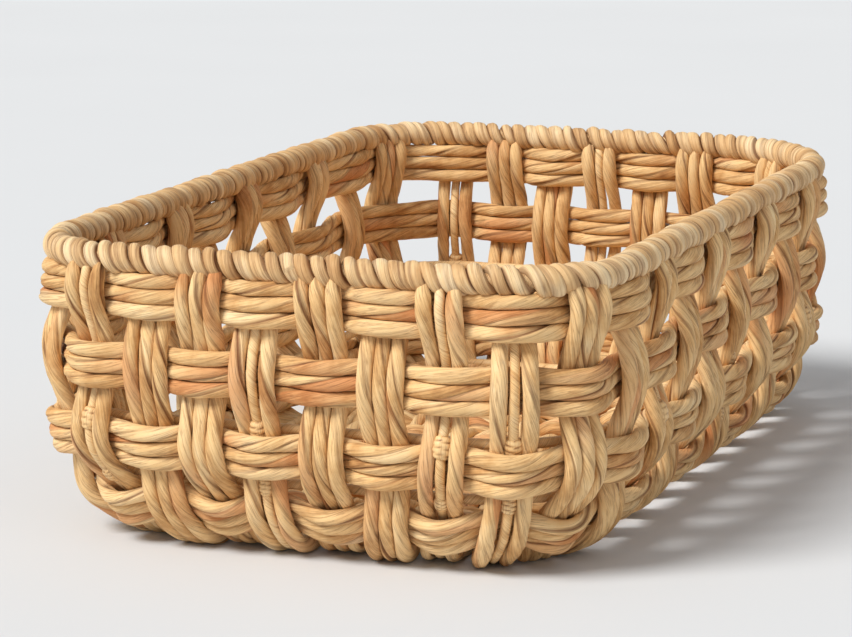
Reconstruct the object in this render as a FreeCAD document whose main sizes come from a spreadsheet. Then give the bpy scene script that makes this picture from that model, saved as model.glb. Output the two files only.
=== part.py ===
import FreeCAD, Part

import math
import os

import Sketcher
from FreeCAD import Vector

# A woven basket of plant-fibre cord on a wrapped wire frame. Millimetres, +Z up. The origin is the
# middle of the plane that the basket stands on, X runs across it and Y along it.

DIMENSIONS = {
    "half_width": 160,  # rim centreline, along X
    "half_length": 274,  # rim centreline, along Y
    "front_left_radius": 62,  # rim centreline
    "front_right_radius": 62,
    "back_right_radius": 100,
    "back_left_radius": 62,
    "front_left_base_radius": 48,  # where the wall meets the base
    "front_right_base_radius": 54,
    "back_right_base_radius": 50,
    "back_left_base_radius": 48,
    "rim_level": 161,
    "rim_diameter": 15,
    "rim_wire_diameter": 5,
    "cord_diameter": 7.2,
    "cord_spacing": 7.8,  # between the three cords of a group
    "float_rise": 5.4,  # how far a cord's middle stands off the weave's mid surface
    "strand_end_drop": 8.2,  # below the rim's centreline
    "band_1_level": 142,
    "band_2_level": 102.5,
    "band_3_level": 60,
    "band_4_level": 24,
    "base_level": 9.3,  # mid surface of the woven base
    "base_inset": 44,  # how far the wall curves in
    "curve_rise": 72,  # height of the curved foot of the wall
    "edge_inset": 36,  # where the strands touch down
    "edge_level_outside": 3.9,  # of a strand that comes from outside the lowest band
    "edge_level_inside": 6.2,  # of a strand that comes from inside the lowest band
    "across_float_shift": 6,  # towards the middle, where a strand stays under at its first crossing
    "along_float_shift": 2,  # the same, for the left to right strands
    "rib_least_level": 5.4,  # keeps the ribs' middles off the floor
    "rim_float_shift": 3,  # downward, for an upright's float at the top band
    "foot_float_shift": 3,  # down inside and up outside, for an upright's float at the lowest band
    "across_pitch_top": 33.6,
    "across_pitch_base": 26,
    "along_pitch_top": 52,
    "along_pitch_base": 48,
    "corner_angle_top": 56,
    "corner_angle_base": 53,
    "corner_end_run": 2,
    "rib_diameter": 5.8,
    "rib_wire_diameter": 3,
    "hoop_diameter": 6,
    "hoop_wire_diameter": 3.6,
    "wrap_clearance": 0.1,  # radial, between a wire and what is wound on it
    "upper_hoop_inset": 10.5,
    "upper_hoop_level": 73,
    "lower_hoop_inset": 19.4,
    "lower_hoop_level": 41,
    "base_ring_inset": 41.5,
    "base_ring_level": 12.6,
    "collar_diameter": 8,
    "collar_bore": 6.3,
    "collar_length": 5,
    "base_offset_share": 0.2,  # of a group's offset at the rim that is left at the base
}

# How far each strand group stands from its even place at the rim: the front and back ends of the
# front to back groups from the left, and the right and left ends of the others from the front.
END_OFFSETS = {
    "front": (0, 0, 0, -2, -2, 2, -1, 0),
    "back": (10, 11, 11, 11, 11, 10, 9, 2),
    "right": (4, 5, 4, 6, 6, 8, 10, 6, -3),
    "left": (0, -12, -20, -24, -26, -26, -24, -18, -8),
}

RUN_SHARE = 0.47  # of a straight run that each of its two arcs may take up
END_RUN_SHARE = 0.9  # the same, for a run that ends in a cut end
FIT_ROUNDS = 40  # passes that settle the corners of a route
GROUP = (-1, 0, 1)  # the cords of a group, counted from its middle
BANDS = (1, 2, 3, 4)
ACROSS = range(1, 9)  # front to back strand groups, counted from the left corner group, 0
ALONG = range(0, 9)  # left to right strand groups, counted from the front
RIBBED_ACROSS = (1, 4, 7, 8)  # groups whose middle cord is a wrapped wire rib
RIBBED_ALONG = (1, 4, 7)
TOP, BASE = "top", "base"
CORNERS = {
    (-1, -1): "front_left",
    (1, -1): "front_right",
    (1, 1): "back_right",
    (-1, 1): "back_left",
}

doc = FreeCAD.newDocument("woven_basket")
sheet = doc.addObject("Spreadsheet::Sheet", "Dimensions")
for end, offsets in END_OFFSETS.items():
    first = min(ACROSS) if len(offsets) == len(ACROSS) else min(ALONG)
    for group, offset in enumerate(offsets, start=first):
        DIMENSIONS[f"{end}_end_{group}_offset"] = offset
for row, (alias, value) in enumerate(DIMENSIONS.items(), start=1):
    sheet.set(f"A{row}", alias)
    sheet.set(f"B{row}", str(value))
    sheet.setAlias(f"B{row}", alias)
doc.recompute()

sub_parts = []


def size(alias):
    return float(sheet.get(alias))


def unit(vector):
    return vector * (1.0 / vector.Length)


# ---- the weave's mid surface ------------------------------------------------------------------


def base_share(inset):
    """How far along the wall's curve an inset is: 0 on the upright wall, 1 at the base."""
    return inset / size("base_inset")


def plan(inset, quadrant):
    """Half width, half length and corner radius of one quadrant of the wall's outline at an inset."""
    corner = CORNERS[quadrant]
    top, base = size(f"{corner}_radius"), size(f"{corner}_base_radius")
    radius = top + (base - top) * base_share(inset)
    return size("half_width") - inset, size("half_length") - inset, radius


def plan_at_angle(inset, angle, quadrant):
    """Point on a corner arc of the outline, as in the +X +Y quadrant, and its angle from +Y."""
    half_x, half_y, radius = plan(inset, quadrant)
    x = half_x - radius + radius * math.sin(angle)
    y = half_y - radius + radius * math.cos(angle)
    return x, y, angle


def plan_at_x(inset, x, quadrant):
    """Point of the outline's end wall at a distance x from the middle."""
    half_x, half_y, radius = plan(inset, quadrant)
    past = x - (half_x - radius)
    if past <= 0:
        return x, half_y, 0.0
    return plan_at_angle(inset, math.asin(past / radius), quadrant)


def plan_at_y(inset, y, quadrant):
    """Point of the outline's side wall at a distance y from the middle."""
    half_x, half_y, radius = plan(inset, quadrant)
    past = y - (half_y - radius)
    if past <= 0:
        return half_x, y, math.pi / 2
    return plan_at_angle(inset, math.pi / 2 - math.asin(past / radius), quadrant)


def profile(level):
    """Inset of the wall at a level, and how far its outward normal tilts down there."""
    fall = 1 - (level - size("base_level")) / size("curve_rise")
    if fall <= 0:
        return 0.0, 0.0
    turn = math.asin(fall)
    inset = size("base_inset") * (1 - math.cos(turn))
    return inset, math.atan(size("base_inset") / size("curve_rise") * math.tan(turn))


class Station:
    """A place on the weave: a point, the way out of the basket there, and the way along the wall."""

    def __init__(self, x, y, angle, level, tilt, quadrant):
        sign_x, sign_y = quadrant
        flat = Vector(sign_x * math.sin(angle), sign_y * math.cos(angle), 0)
        self.point = Vector(sign_x * x, sign_y * y, level)
        self.out = flat * math.cos(tilt) + Vector(0, 0, -math.sin(tilt))
        self.up = flat * math.sin(tilt) + Vector(0, 0, math.cos(tilt))
        self.around = Vector(-flat.y, flat.x, 0)


class Upright:
    """Where one strand group runs down the wall, in one quadrant of the basket."""

    def __init__(self, kind, top, base, quadrant):
        self.kind, self.top, self.base, self.quadrant = kind, top, base, quadrant

    def place(self, inset, level, tilt):
        at = self.top + (self.base - self.top) * base_share(inset)
        x, y, angle = self.kind(inset, at, self.quadrant)
        return Station(x, y, angle, level, tilt, self.quadrant)

    def at_level(self, level):
        inset, tilt = profile(level)
        return self.place(inset, level, tilt)

    def at_edge(self, side):
        level = size("edge_level_outside" if side > 0 else "edge_level_inside")
        return self.place(size("edge_inset"), level, 0.0)


def end_offset(end, group, where):
    share = 1.0 if where == TOP else size("base_offset_share")
    return share * size(f"{end}_end_{group}_offset")


def across_x(group, where, end):
    return (group - 4.5) * size(f"across_pitch_{where}") + end_offset(end, group, where)


def along_y(group, where, end):
    return (group - 4) * size(f"along_pitch_{where}") + end_offset(end, group, where)


def upright_between(kind, top, base, fixed_sign, turned):
    """An upright of a wall, on the side of the wall's middle where its top is."""
    sign = math.copysign(1, top)
    quadrant = (fixed_sign, sign) if turned else (sign, fixed_sign)
    return Upright(kind, top * sign, base * sign, quadrant)


def across_upright(group, sign_y):
    end = "front" if sign_y < 0 else "back"
    top, base = across_x(group, TOP, end), across_x(group, BASE, end)
    return upright_between(plan_at_x, top, base, sign_y, turned=False)


def along_upright(group, sign_x):
    end = "left" if sign_x < 0 else "right"
    top, base = along_y(group, TOP, end), along_y(group, BASE, end)
    return upright_between(plan_at_y, top, base, sign_x, turned=True)


def corner_upright(sign_x, sign_y):
    top, base = (math.radians(size(f"corner_angle_{where}")) for where in (TOP, BASE))
    return Upright(plan_at_angle, top, base, (sign_x, sign_y))


def ring_of_uprights():
    """Every upright in order round the wall, from the front left corner towards the front right."""
    ring = [corner_upright(-1, -1)]
    ring += [across_upright(group, -1) for group in ACROSS]
    ring += [corner_upright(1, -1)]
    ring += [along_upright(group, 1) for group in ALONG]
    ring += [corner_upright(1, 1)]
    ring += [across_upright(group, 1) for group in reversed(ACROSS)]
    ring += [corner_upright(-1, 1)]
    ring += [along_upright(group, -1) for group in reversed(ALONG)]
    return ring


RING = ring_of_uprights()


def upright_side(place, band):
    """1 where the upright at this place of the ring is outside the band, -1 where it is inside."""
    return 1 if (place + band) % 2 == 0 else -1


def across_side(across, along):
    """1 where a front to back strand is under a left to right strand of the base, -1 above it."""
    return 1 if (across + along) % 2 else -1


# ---- routes -----------------------------------------------------------------------------------


def arc_at(before, corner, after, shares):
    """Start, middle and end of the arc that rounds a corner between two straight runs."""
    back, on = before - corner, after - corner
    tangent = min(shares[0] * back.Length, shares[1] * on.Length)
    back, on = unit(back), unit(on)
    half_turn = (math.pi - back.getAngle(on)) / 2
    middle = corner + unit(back + on) * (tangent * math.tan(half_turn / 2))
    return corner + back * tangent, middle, corner + on * tangent


def shares_at(corners, place):
    last = len(corners) - 2
    return (
        END_RUN_SHARE if place == 1 else RUN_SHARE,
        END_RUN_SHARE if place == last else RUN_SHARE,
    )


def corner_arc(corners, place):
    return arc_at(*corners[place - 1 : place + 2], shares_at(corners, place))


def corners_through(targets):
    """Corners of a route whose arcs pass through the targets. Its two ends are the end targets."""
    corners = [Vector(target) for target in targets]
    for _ in range(FIT_ROUNDS):
        middles = [corner_arc(corners, place)[1] for place in range(1, len(corners) - 1)]
        for place, middle in enumerate(middles, start=1):
            corners[place] += targets[place] - middle
    return corners


def route(targets):
    """A wire of straight runs joined by tangent arcs, through the targets."""
    corners = corners_through(targets)
    edges, at = [], corners[0]
    for place in range(1, len(corners) - 1):
        start, middle, end = corner_arc(corners, place)
        edges.append(Part.LineSegment(at, start).toShape())
        edges.append(Part.Arc(start, middle, end).toShape())
        at = end
    edges.append(Part.LineSegment(at, corners[-1]).toShape())
    return Part.Wire(edges)


def tube(path, diameter, bore=0.0):
    """A round cord along a path, with a bore through it where it is wound on a wire."""
    start = path.Edges[0].Vertexes[0].Point
    way = path.Edges[0].tangentAt(path.Edges[0].FirstParameter)
    outer = path.makePipe(Part.Face(Part.Wire(Part.makeCircle(diameter / 2, start, way))))
    section = math.pi / 4 * diameter**2
    assert abs(outer.Volume / (section * path.Length) - 1) < 0.01, "a tube's volume is wrong"
    if not bore:
        return outer
    return outer.cut(path.makePipe(Part.Face(Part.Wire(Part.makeCircle(bore / 2, start, way)))))


def off_surface(station, side):
    return station.point + station.out * (side * size("float_rise"))


def float_level(band, side):
    """Level of the middle of an upright's float at a band, moved off it to clear the band's cords."""
    level = size(f"band_{band}_level")
    if band == BANDS[0]:
        return level - size("rim_float_shift")
    if band == BANDS[-1]:
        return level + side * size("foot_float_shift")
    return level


def wall_targets(place, cord):
    """Targets of one cord of an upright, from the rim down to the edge of the base."""
    upright = RING[place]
    start = upright.at_level(size("rim_level") - size("strand_end_drop"))
    shift = cord * size("cord_spacing")
    turned = -1 if upright.quadrant[0] * upright.quadrant[1] < 0 else 1
    stations = [(start, 0.85 * upright_side(place, BANDS[0]))]
    for band in BANDS:
        side = upright_side(place, band)
        stations.append((upright.at_level(float_level(band, side)), side))
    stations.append((upright.at_edge(upright_side(place, BANDS[-1])), 0))
    return [
        off_surface(station, side) + station.around * (shift * turned) for station, side in stations
    ]


def across_places(group):
    """Places in the ring of the front and back ends of a front to back group."""
    return group, 2 * len(ACROSS) + len(ALONG) + 3 - group


def along_places(group):
    """Places in the ring of the right and left ends of a left to right group."""
    return len(ACROSS) + 2 + group, len(RING) - 1 - group


def crossing(across, along):
    """Where the middles of two strand groups cross in the base."""
    front, back = (across_x(across, BASE, end) for end in ("front", "back"))
    left, right = (along_y(along, BASE, end) for end in ("left", "right"))
    reach_x = size("half_width") - size("edge_inset")
    reach_y = size("half_length") - size("edge_inset")
    x, y = (front + back) / 2, (left + right) / 2
    for _ in range(FIT_ROUNDS):
        x = (front + back) / 2 + (back - front) / 2 * y / reach_y
        y = (left + right) / 2 + (right - left) / 2 * x / reach_x
    return x, y


def moved_in(position, place, groups, side, shift):
    """Where a strand's float is along it, which is off a first or last crossing that it is under."""
    at_end = place in (groups[0], groups[-1])
    return position - math.copysign(shift, position) if side > 0 and at_end else position


def off_floor(targets, lifted):
    """The targets, lifted where they would let a round rib through the floor."""
    least = size("rib_least_level") if lifted else 0.0
    return [Vector(target.x, target.y, max(target.z, least)) for target in targets]


def is_rib(group, ribbed, cord):
    return cord == 0 and group in ribbed


def across_targets(group, cord):
    front, back = across_places(group)
    spread, shift = cord * size("cord_spacing"), size("across_float_shift")
    targets = sorted_side(wall_targets(front, cord), wall_targets(front, -cord), "x", cord)
    for along in ALONG:
        side = across_side(group, along)
        x, y = crossing(group, along)
        level = size("base_level") - side * size("float_rise")
        targets.append(Vector(x + spread, moved_in(y, along, ALONG, side, shift), level))
    far = sorted_side(wall_targets(back, cord), wall_targets(back, -cord), "x", cord)
    return off_floor(targets + far[::-1], is_rib(group, RIBBED_ACROSS, cord))


def along_targets(group, cord):
    right, left = along_places(group)
    spread, shift = cord * size("cord_spacing"), size("along_float_shift")
    targets = sorted_side(wall_targets(left, cord), wall_targets(left, -cord), "y", cord)
    for across in ACROSS:
        side = -across_side(across, group)
        x, y = crossing(across, group)
        level = size("base_level") - side * size("float_rise")
        targets.append(Vector(moved_in(x, across, ACROSS, side, shift), y + spread, level))
    far = sorted_side(wall_targets(right, cord), wall_targets(right, -cord), "y", cord)
    return off_floor(targets + far[::-1], is_rib(group, RIBBED_ALONG, cord))


def sorted_side(one, other, axis, cord):
    """Of two mirrored rows of targets, the one on the cord's own side of its group."""
    gap = getattr(one[0], axis) - getattr(other[0], axis)
    return one if gap * cord >= 0 else other


def corner_targets(place, cord):
    targets = wall_targets(place, cord)
    edge = RING[place].at_edge(upright_side(place, BANDS[-1]))
    return targets + [targets[-1] - edge.out * size("corner_end_run")]


def band_targets(band, cord):
    """Targets of one cord of a wall band, which starts and ends inside the same upright."""
    level = size(f"band_{band}_level")
    first = next(place for place in range(len(RING)) if upright_side(place, band) > 0)
    order = [(first + step) % len(RING) for step in range(len(RING))]
    targets = []
    for place in order:
        station = RING[place].at_level(level)
        shift = station.up * (cord * size("cord_spacing"))
        targets.append(off_surface(station, -upright_side(place, band)) + shift)
    around = RING[first].at_level(level).around
    gap = unit(around) * 0.2
    return [targets[0] + gap] + targets[1:] + [targets[0] - gap]


# ---- sub-parts --------------------------------------------------------------------------------


def add_solids(label, solids):
    feature = doc.addObject("Part::Feature", label)
    feature.Label = label
    feature.Shape = solids[0] if len(solids) == 1 else Part.makeCompound(solids)
    feature.Placement = FreeCAD.Placement()
    sub_parts.append(feature)


def pressed_flat(solid):
    """A solid with what would reach below the floor pressed away, which leaves small flats there."""
    box = solid.BoundBox
    if box.ZMin >= 0:
        return solid
    floor = Part.makeBox(box.XLength + 2, box.YLength + 2, 5, Vector(box.XMin - 1, box.YMin - 1, -5))
    return solid.cut(floor).Solids[0]


def add_strands(kind, groups, ribbed, targets_of):
    for group in groups:
        label = f"{kind}_{group:02d}"
        cords = [cord for cord in GROUP if cord or group not in ribbed]
        paths = [route(targets_of(group, cord)) for cord in cords]
        add_solids(f"{label}_cords", [pressed_flat(tube(path, size("cord_diameter"))) for path in paths])
        if group in ribbed:
            add_rib(label, route(targets_of(group, 0)))


def add_rib(label, path):
    bore = size("rib_wire_diameter") + 2 * size("wrap_clearance")
    add_solids(f"{label}_rib_wire", [tube(path, size("rib_wire_diameter"))])
    add_solids(f"{label}_rib_wrap", [tube(path, size("rib_diameter"), bore)])


def constrain(sketch, name, expression, *what):
    index = sketch.addConstraint(Sketcher.Constraint(*what))
    sketch.renameConstraint(index, name)
    sketch.setExpression(f"Constraints.{name}", expression)


def origin_plane(body, role):
    return next(item for item in body.Origin.OriginFeatures if item.Role == role)


def ring_path(body, inset, reach_x, reach_y, radius_of):
    """A rounded rectangle on the body's XY plane, starting in the middle of the front run.

    The last three are the expressions for its half width, its half length and a corner's radius."""
    sketch = body.newObject("Sketcher::SketchObject", f"{body.Name}_path")
    sketch.AttachmentSupport = [(origin_plane(body, "XY_Plane"), "")]
    sketch.MapMode = "FlatFace"
    quadrants = ((1, -1), (1, 1), (-1, 1), (-1, -1))
    half_x, half_y, _ = plan(inset, quadrants[0])
    radii = [plan(inset, quadrant)[2] for quadrant in quadrants]
    at = Vector(0, -half_y, 0)
    for place, ((sign_x, sign_y), radius) in enumerate(zip(quadrants, radii)):
        centre = Vector(sign_x * (half_x - radius), sign_y * (half_y - radius), 0)
        turn = (place - 1) * math.pi / 2
        circle = Part.Circle(centre, Vector(0, 0, 1), radius)
        arc = Part.ArcOfCircle(circle, turn, turn + math.pi / 2)
        sketch.addGeometry(Part.LineSegment(at, arc.StartPoint), False)
        sketch.addGeometry(arc, False)
        at = arc.EndPoint
    sketch.addGeometry(Part.LineSegment(at, Vector(0, -half_y, 0)), False)
    for place in range(8):
        sketch.addConstraint(Sketcher.Constraint("Tangent", place, 2, place + 1, 1))
    sketch.addConstraint(Sketcher.Constraint("Coincident", 8, 2, 0, 1))
    for place in (0, 4, 8):
        sketch.addConstraint(Sketcher.Constraint("Horizontal", place))
    for place in (2, 6):
        sketch.addConstraint(Sketcher.Constraint("Vertical", place))
    sketch.addConstraint(Sketcher.Constraint("PointOnObject", 0, 1, -2))
    for place, (quadrant, radius) in enumerate(zip(quadrants, radii)):
        corner = CORNERS[quadrant]
        constrain(sketch, f"{corner}_bend", radius_of(corner), "Radius", 2 * place + 1, radius)
    constrain(sketch, "right", reach_x, "DistanceX", -1, 1, 2, 1, half_x)
    constrain(sketch, "left", reach_x, "DistanceX", 6, 1, -1, 1, half_x)
    constrain(sketch, "back", reach_y, "DistanceY", -1, 1, 4, 1, half_y)
    constrain(sketch, "front", reach_y, "DistanceY", 0, 1, -1, 1, half_y)
    return sketch


def ring_section(body, name, half_y, y_expression, value, expression):
    """A circle on the body's YZ plane, where the ring's path starts."""
    sketch = body.newObject("Sketcher::SketchObject", name)
    sketch.AttachmentSupport = [(origin_plane(body, "YZ_Plane"), "")]
    sketch.MapMode = "FlatFace"
    sketch.addGeometry(Part.Circle(Vector(-half_y, 0, 0), Vector(0, 0, 1), value / 2), False)
    sketch.addConstraint(Sketcher.Constraint("PointOnObject", 0, 3, -1))
    constrain(sketch, "width", expression, "Diameter", 0, value)
    constrain(sketch, "reach", y_expression, "DistanceX", 0, 3, -1, 1, half_y)
    return sketch


def add_ring(label, inset_alias, level_alias, outer, bore=None):
    """A ring round the basket, either a bare wire or a wrap with a bore for its wire."""
    body = doc.addObject("PartDesign::Body", label)
    body.Label = label
    inset = size(inset_alias) if inset_alias else 0.0
    taken = f" - Dimensions.{inset_alias}" if inset_alias else ""
    share = f"Dimensions.{inset_alias} / Dimensions.base_inset" if inset_alias else "0"

    def radius_of(corner):
        top, base = f"Dimensions.{corner}_radius", f"Dimensions.{corner}_base_radius"
        return f"{top} + ({base} - {top}) * {share}"

    reach_x, reach_y = f"Dimensions.half_width{taken}", f"Dimensions.half_length{taken}"
    half_y = size("half_length") - inset
    path = ring_path(body, inset, reach_x, reach_y, radius_of)
    features = [("PartDesign::AdditivePipe", "outside", outer)]
    if bore:
        features.append(("PartDesign::SubtractivePipe", "bore", bore))
    for kind, name, (value, expression) in features:
        section_name = f"{label}_{name}_section"
        section = ring_section(body, section_name, half_y, reach_y, value, expression)
        pipe = body.newObject(kind, f"{label}_{name}")
        pipe.Profile = section
        pipe.Spine = (path, [f"Edge{place}" for place in range(1, 10)])
        body.Tip = pipe
        doc.recompute()
    body.setExpression("Placement.Base.z", f"Dimensions.{level_alias}")
    sub_parts.append(body)


def add_wrapped_ring(name, inset_alias, level_alias, wire_alias, outer_alias):
    wire = (size(wire_alias), f"Dimensions.{wire_alias}")
    outer = (size(outer_alias), f"Dimensions.{outer_alias}")
    clearance = 2 * size("wrap_clearance")
    bore = (wire[0] + clearance, f"{wire[1]} + 2 * Dimensions.wrap_clearance")
    add_ring(f"{name}_wire", inset_alias, level_alias, wire)
    add_ring(f"{name}_wrap", inset_alias, level_alias, outer, bore)


def add_collars(label, level_alias):
    """Short lashings on the ribs, where they pass a hoop."""
    level = size(level_alias)
    places = [place for group in RIBBED_ACROSS for place in across_places(group)]
    places += [place for group in RIBBED_ALONG for place in along_places(group)]
    collars = []
    for place in places:
        path = route(wall_targets(place, 0))
        near = min(path.discretize(Distance=0.5), key=lambda point: abs(point.z - level))
        way = tangent_near(path, near)
        start = near - way * (size("collar_length") / 2)
        solid = Part.makeCylinder(size("collar_diameter") / 2, size("collar_length"), start, way)
        hole = Part.makeCylinder(size("collar_bore") / 2, size("collar_length"), start, way)
        collars.append(solid.cut(hole))
    add_solids(label, collars)


def tangent_near(path, point):
    edge = min(path.Edges, key=lambda item: item.distToShape(Part.Vertex(point))[0])
    return unit(edge.tangentAt(edge.Curve.parameter(point)))


add_wrapped_ring("rim", None, "rim_level", "rim_wire_diameter", "rim_diameter")
for ring_name in ("upper_hoop", "lower_hoop", "base_ring"):
    aliases = (f"{ring_name}_inset", f"{ring_name}_level", "hoop_wire_diameter", "hoop_diameter")
    add_wrapped_ring(ring_name, *aliases)

for band in BANDS:
    paths = [route(band_targets(band, cord)) for cord in GROUP]
    add_solids(f"wall_band_{band}_cords", [tube(path, size("cord_diameter")) for path in paths])

add_strands("front_back_strand", ACROSS, RIBBED_ACROSS, across_targets)
add_strands("left_right_strand", ALONG, RIBBED_ALONG, along_targets)

for place, upright in enumerate(RING):
    if upright.kind == plan_at_angle:
        paths = [route(corner_targets(place, cord)) for cord in GROUP]
        solids = [pressed_flat(tube(path, size("cord_diameter"))) for path in paths]
        add_solids(f"corner_stakes_{CORNERS[upright.quadrant]}", solids)

add_collars("upper_hoop_lashings", "upper_hoop_level")
add_collars("lower_hoop_lashings", "lower_hoop_level")

doc.recompute()

for item in doc.Objects:
    if {"Invalid", "Error"} & set(item.State):
        raise RuntimeError(f"{item.Name} did not recompute: {item.State}")
for part in sub_parts:
    if part.Shape.isNull() or not part.Shape.isValid():
        raise RuntimeError(f"{part.Label} has no valid shape")

os.makedirs("parts", exist_ok=True)
for part in sub_parts:
    part.Shape.exportStep(f"parts/{part.Label}.step")
    print(part.Label, len(part.Shape.Solids), round(part.Shape.Volume / 1000, 1), "cm3")
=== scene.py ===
import math

import bpy
import numpy as np
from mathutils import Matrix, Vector
from mathutils.kdtree import KDTree


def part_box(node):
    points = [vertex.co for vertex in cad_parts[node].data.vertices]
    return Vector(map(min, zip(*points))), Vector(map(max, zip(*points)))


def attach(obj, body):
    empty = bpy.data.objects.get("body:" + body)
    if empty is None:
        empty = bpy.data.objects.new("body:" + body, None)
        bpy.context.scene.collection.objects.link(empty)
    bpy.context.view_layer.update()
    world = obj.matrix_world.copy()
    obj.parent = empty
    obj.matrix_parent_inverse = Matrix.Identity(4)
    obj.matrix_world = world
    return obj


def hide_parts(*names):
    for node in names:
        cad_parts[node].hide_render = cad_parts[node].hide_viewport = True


# The looks of a basket woven of water hyacinth cord on a wrapped wire frame. Lengths are in
# millimetres until a mesh is made. +Z is up, X runs across the basket and Y along it.

MM = 0.001

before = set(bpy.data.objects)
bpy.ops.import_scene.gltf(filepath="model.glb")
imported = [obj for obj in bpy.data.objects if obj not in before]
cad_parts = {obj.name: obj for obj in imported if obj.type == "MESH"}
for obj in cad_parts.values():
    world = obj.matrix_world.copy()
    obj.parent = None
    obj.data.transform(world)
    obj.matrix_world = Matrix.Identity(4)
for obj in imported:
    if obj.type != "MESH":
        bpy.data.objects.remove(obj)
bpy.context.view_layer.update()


def box_mm(node):
    """Lowest and highest corner of a CAD node."""
    low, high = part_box(node)
    return np.array(low) / MM, np.array(high) / MM


def ring_size(node):
    """Half width, half length, level and section radius of a ring's middle line."""
    low, high = box_mm(node)
    radius = (high[2] - low[2]) / 2
    half = (high - low) / 2 - radius
    return half[0], half[1], (high[2] + low[2]) / 2, radius


HALF_WIDTH, HALF_LENGTH, RIM_LEVEL, RIM_RADIUS = ring_size("rim_wrap")
BANDS = (1, 2, 3, 4)
BAND_LEVEL = {
    band: float(sum(corner[2] for corner in box_mm(f"wall_band_{band}_cords")) / 2) for band in BANDS
}

CORNER_RADII = {  # by quadrant, at the rim and at the base
    (-1, -1): (62, 48),
    (1, -1): (62, 54),
    (1, 1): (100, 50),
    (-1, 1): (62, 48),
}
BASE_INSET = 44.0
BASE_LEVEL = 9.3
CURVE_RISE = 72.0
EDGE_INSET = 36.0
EDGE_LEVEL = {1: 3.9, -1: 6.2}
CORD_SPACING = 7.9
FLOAT_RISE = 5.4
CORD_RADIUS = 4.25
RIB_RADIUS = 2.9
RIB_WIRE_RADIUS = 1.5
ACROSS = range(1, 9)
ALONG = range(0, 9)
RIBBED_ACROSS = (1, 4, 7, 8)
RIBBED_ALONG = (1, 4, 7)
ACROSS_PITCH = {"top": 33.6, "base": 26.0}
ALONG_PITCH = {"top": 52.0, "base": 48.0}
CORNER_ANGLE = {"top": math.radians(56), "base": math.radians(53)}
END_OFFSETS = {
    "front": (0, 0, 0, -2, -2, 2, -1, 0),
    "back": (10, 11, 11, 11, 11, 10, 9, 2),
    "right": (4, 5, 4, 6, 6, 8, 10, 6, -3),
    "left": (0, -12, -20, -24, -26, -26, -24, -18, -8),
}
OFFSET_SHARE = {"top": 1.0, "base": 0.2}
STRAND_TOP_DROP = 3.5  # how far below the rim's middle line an upright ends
UNDER_RIM_DROP = 9.5
RIM_FLOAT_SHIFT = 3
FOOT_FLOAT_SHIFT = 3
SPREAD_OUTSIDE, SPREAD_INSIDE = 1.07, 0.95  # cord spacing of an upright, outside and inside a band
FIRST_FLOAT_SHIFT = {True: 6, False: 2}  # front to back strands, left to right strands
CROSSING_ROUNDS = 20

NODE_STEP = 3.5
RING_STEP = 1.25
COLUMNS_PER_STRIP = 8
RELAX_ROUNDS = 60


# ---- small tools ------------------------------------------------------------------------------


def unit(vectors):
    return vectors / np.maximum(np.linalg.norm(vectors, axis=-1, keepdims=True), 1e-9)


def smooth_noise(rng, places, wavelength, closed_length=None):
    """Smooth noise of about unit height at places along a line."""
    span = closed_length or (places[-1] - places[0])
    count = max(4, int(round(span / wavelength)) + (0 if closed_length else 4))
    values = rng.uniform(-1, 1, count)
    at = (places - places[0]) / (span / count if closed_length else wavelength)
    cell = np.floor(at).astype(int)
    share = at - cell
    share = share * share * (3 - 2 * share)
    return values[cell % count] * (1 - share) + values[(cell + 1) % count] * share


def spline(points, at, closed):
    """Catmull-Rom values of a row of points at fractional places."""
    count = len(points)
    cell = np.floor(at).astype(int)
    if not closed:
        cell = np.minimum(cell, count - 2)
    share = (at - cell)[:, None]
    picked = []
    for step in (-1, 0, 1, 2):
        index = (cell + step) % count if closed else np.clip(cell + step, 0, count - 1)
        picked.append(points[index])
    before, start, end, after = picked
    return 0.5 * (
        2 * start
        + (end - before) * share
        + (2 * before - 5 * start + 4 * end - after) * share**2
        + (3 * start - before - 3 * end + after) * share**3
    )


def even_line(points, sides, step, closed=False):
    """A smooth line through points, at even steps, with the row of side vectors that goes with it."""
    count = len(points)
    fine = np.linspace(0, count if closed else count - 1, (count if closed else count - 1) * 24 + 1)
    if closed:
        fine[-1] = 0
    track = spline(points, fine, closed)
    gaps = np.linalg.norm(np.diff(track, axis=0), axis=1)
    along = np.concatenate([[0], np.cumsum(gaps)])
    amount = max(4, int(round(along[-1] / step)))
    wanted = np.linspace(0, along[-1], amount + (0 if closed else 1), endpoint=not closed)
    fine = np.linspace(0, count if closed else count - 1, len(fine))
    at = np.interp(wanted, along, fine)
    at = np.minimum(at, (count if closed else count - 1) - 1e-6)
    return spline(points, at, closed), unit(spline(sides, at, closed))


# ---- the weave's mid surface ------------------------------------------------------------------


def plan(inset, quadrant):
    """Half width, half length and corner radius of one quadrant of the wall's outline at an inset."""
    top, base = CORNER_RADII[quadrant]
    return HALF_WIDTH - inset, HALF_LENGTH - inset, top + (base - top) * inset / BASE_INSET


def plan_at_angle(inset, angle, quadrant):
    half_x, half_y, radius = plan(inset, quadrant)
    x = half_x - radius + radius * math.sin(angle)
    return x, half_y - radius + radius * math.cos(angle), angle


def plan_at_x(inset, x, quadrant):
    half_x, half_y, radius = plan(inset, quadrant)
    past = x - (half_x - radius)
    return (x, half_y, 0.0) if past <= 0 else plan_at_angle(inset, math.asin(past / radius), quadrant)


def plan_at_y(inset, y, quadrant):
    half_x, half_y, radius = plan(inset, quadrant)
    past = y - (half_y - radius)
    if past <= 0:
        return half_x, y, math.pi / 2
    return plan_at_angle(inset, math.pi / 2 - math.asin(past / radius), quadrant)


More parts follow.
